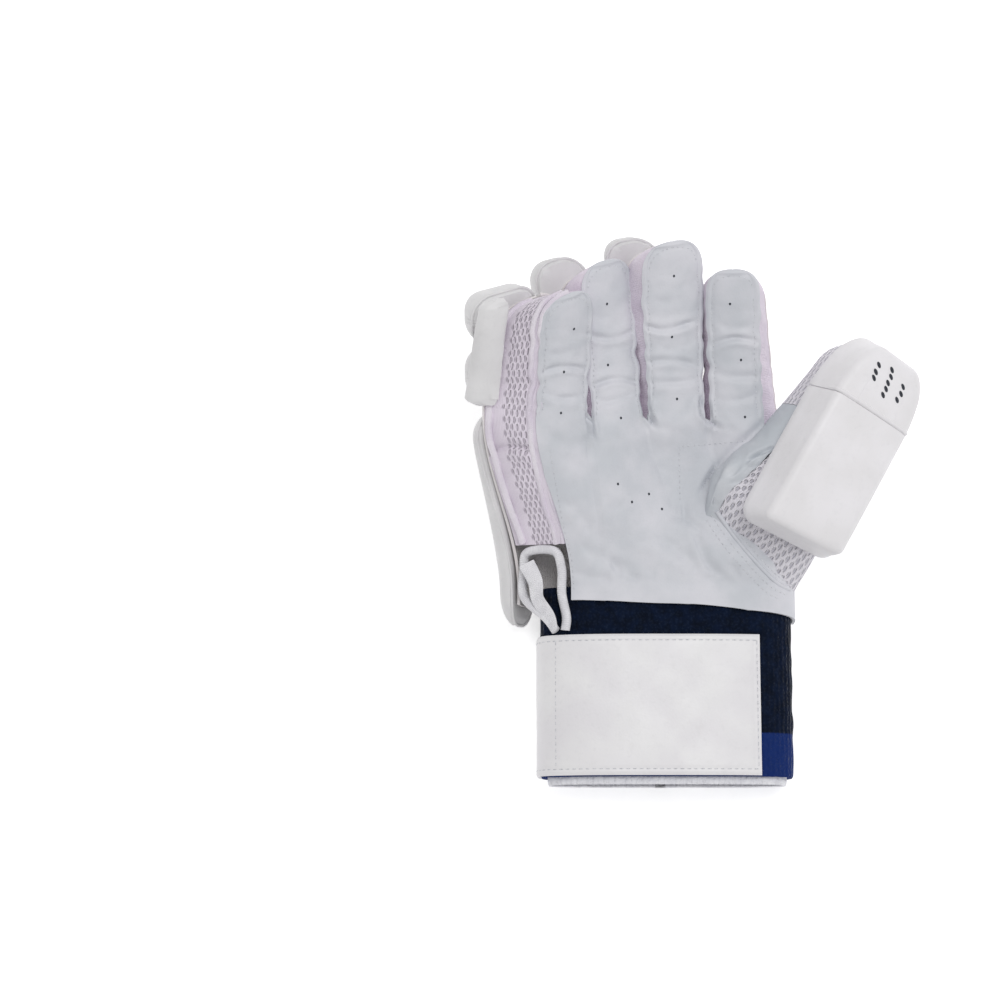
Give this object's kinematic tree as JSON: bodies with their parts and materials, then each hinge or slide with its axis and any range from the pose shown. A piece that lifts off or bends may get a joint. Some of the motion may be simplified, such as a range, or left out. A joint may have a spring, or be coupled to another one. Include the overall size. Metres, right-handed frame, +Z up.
{
  "type": "cricket batting glove",
  "caption": "Right-hand cricket batting glove with open fingers and thumb to wear, padded finger rolls, a padded thumb guard and a towelling cuff with a closing strap.",
  "frame": {"origin": "middle of the footprint, on the surface that the glove lies on", "axes": "+X toward the thumb, +Y toward the fingertips, +Z up out of the palm"},
  "size_m": [0.2166, 0.2642, 0.0945],
  "materials": {
    "palm_leather": "soft matt white-grey leather",
    "mesh_cloth": "pale lilac-grey open mesh",
    "back_cloth": "pale beige cloth",
    "roll_cover": "white synthetic leather over padding",
    "guard_cover": "white synthetic leather over hard padding",
    "navy_towelling": "navy towelling",
    "white_towelling": "white towelling",
    "strap_cover": "satin white synthetic leather",
    "white_tape": "white woven tape"
  },
  "bodies": {
    "root": {"palm_leather": "palm_leather", "thumb_leather": "palm_leather", "back_panel": "back_cloth", "fourchette_little_ring": "mesh_cloth", "fourchette_ring_middle": "mesh_cloth", "fourchette_middle_index": "mesh_cloth", "side_mesh_finger": "mesh_cloth", "side_mesh_hand": "mesh_cloth", "index_side_wall": "mesh_cloth", "roll_little_tip": "roll_cover", "roll_little_middle": "roll_cover", "roll_little_hand": "roll_cover", "roll_ring_tip": "roll_cover", "roll_ring_middle": "roll_cover", "roll_ring_hand": "roll_cover", "roll_middle_tip": "roll_cover", "roll_middle_middle": "roll_cover", "roll_middle_hand": "roll_cover", "roll_index_tip": "roll_cover", "roll_index_middle": "roll_cover", "roll_index_hand": "roll_cover", "side_bar_little": "roll_cover", "thumb_mesh": "mesh_cloth", "thumb_tip": "mesh_cloth", "thumb_guard_base": "guard_cover", "thumb_guard_tip": "guard_cover", "wristband": "navy_towelling", "wrist_lining": "white_towelling", "wrist_strap": "strap_cover", "slit_binding": "white_tape", "pull_tab": "white_tape"}
  },
  "joints": []
}
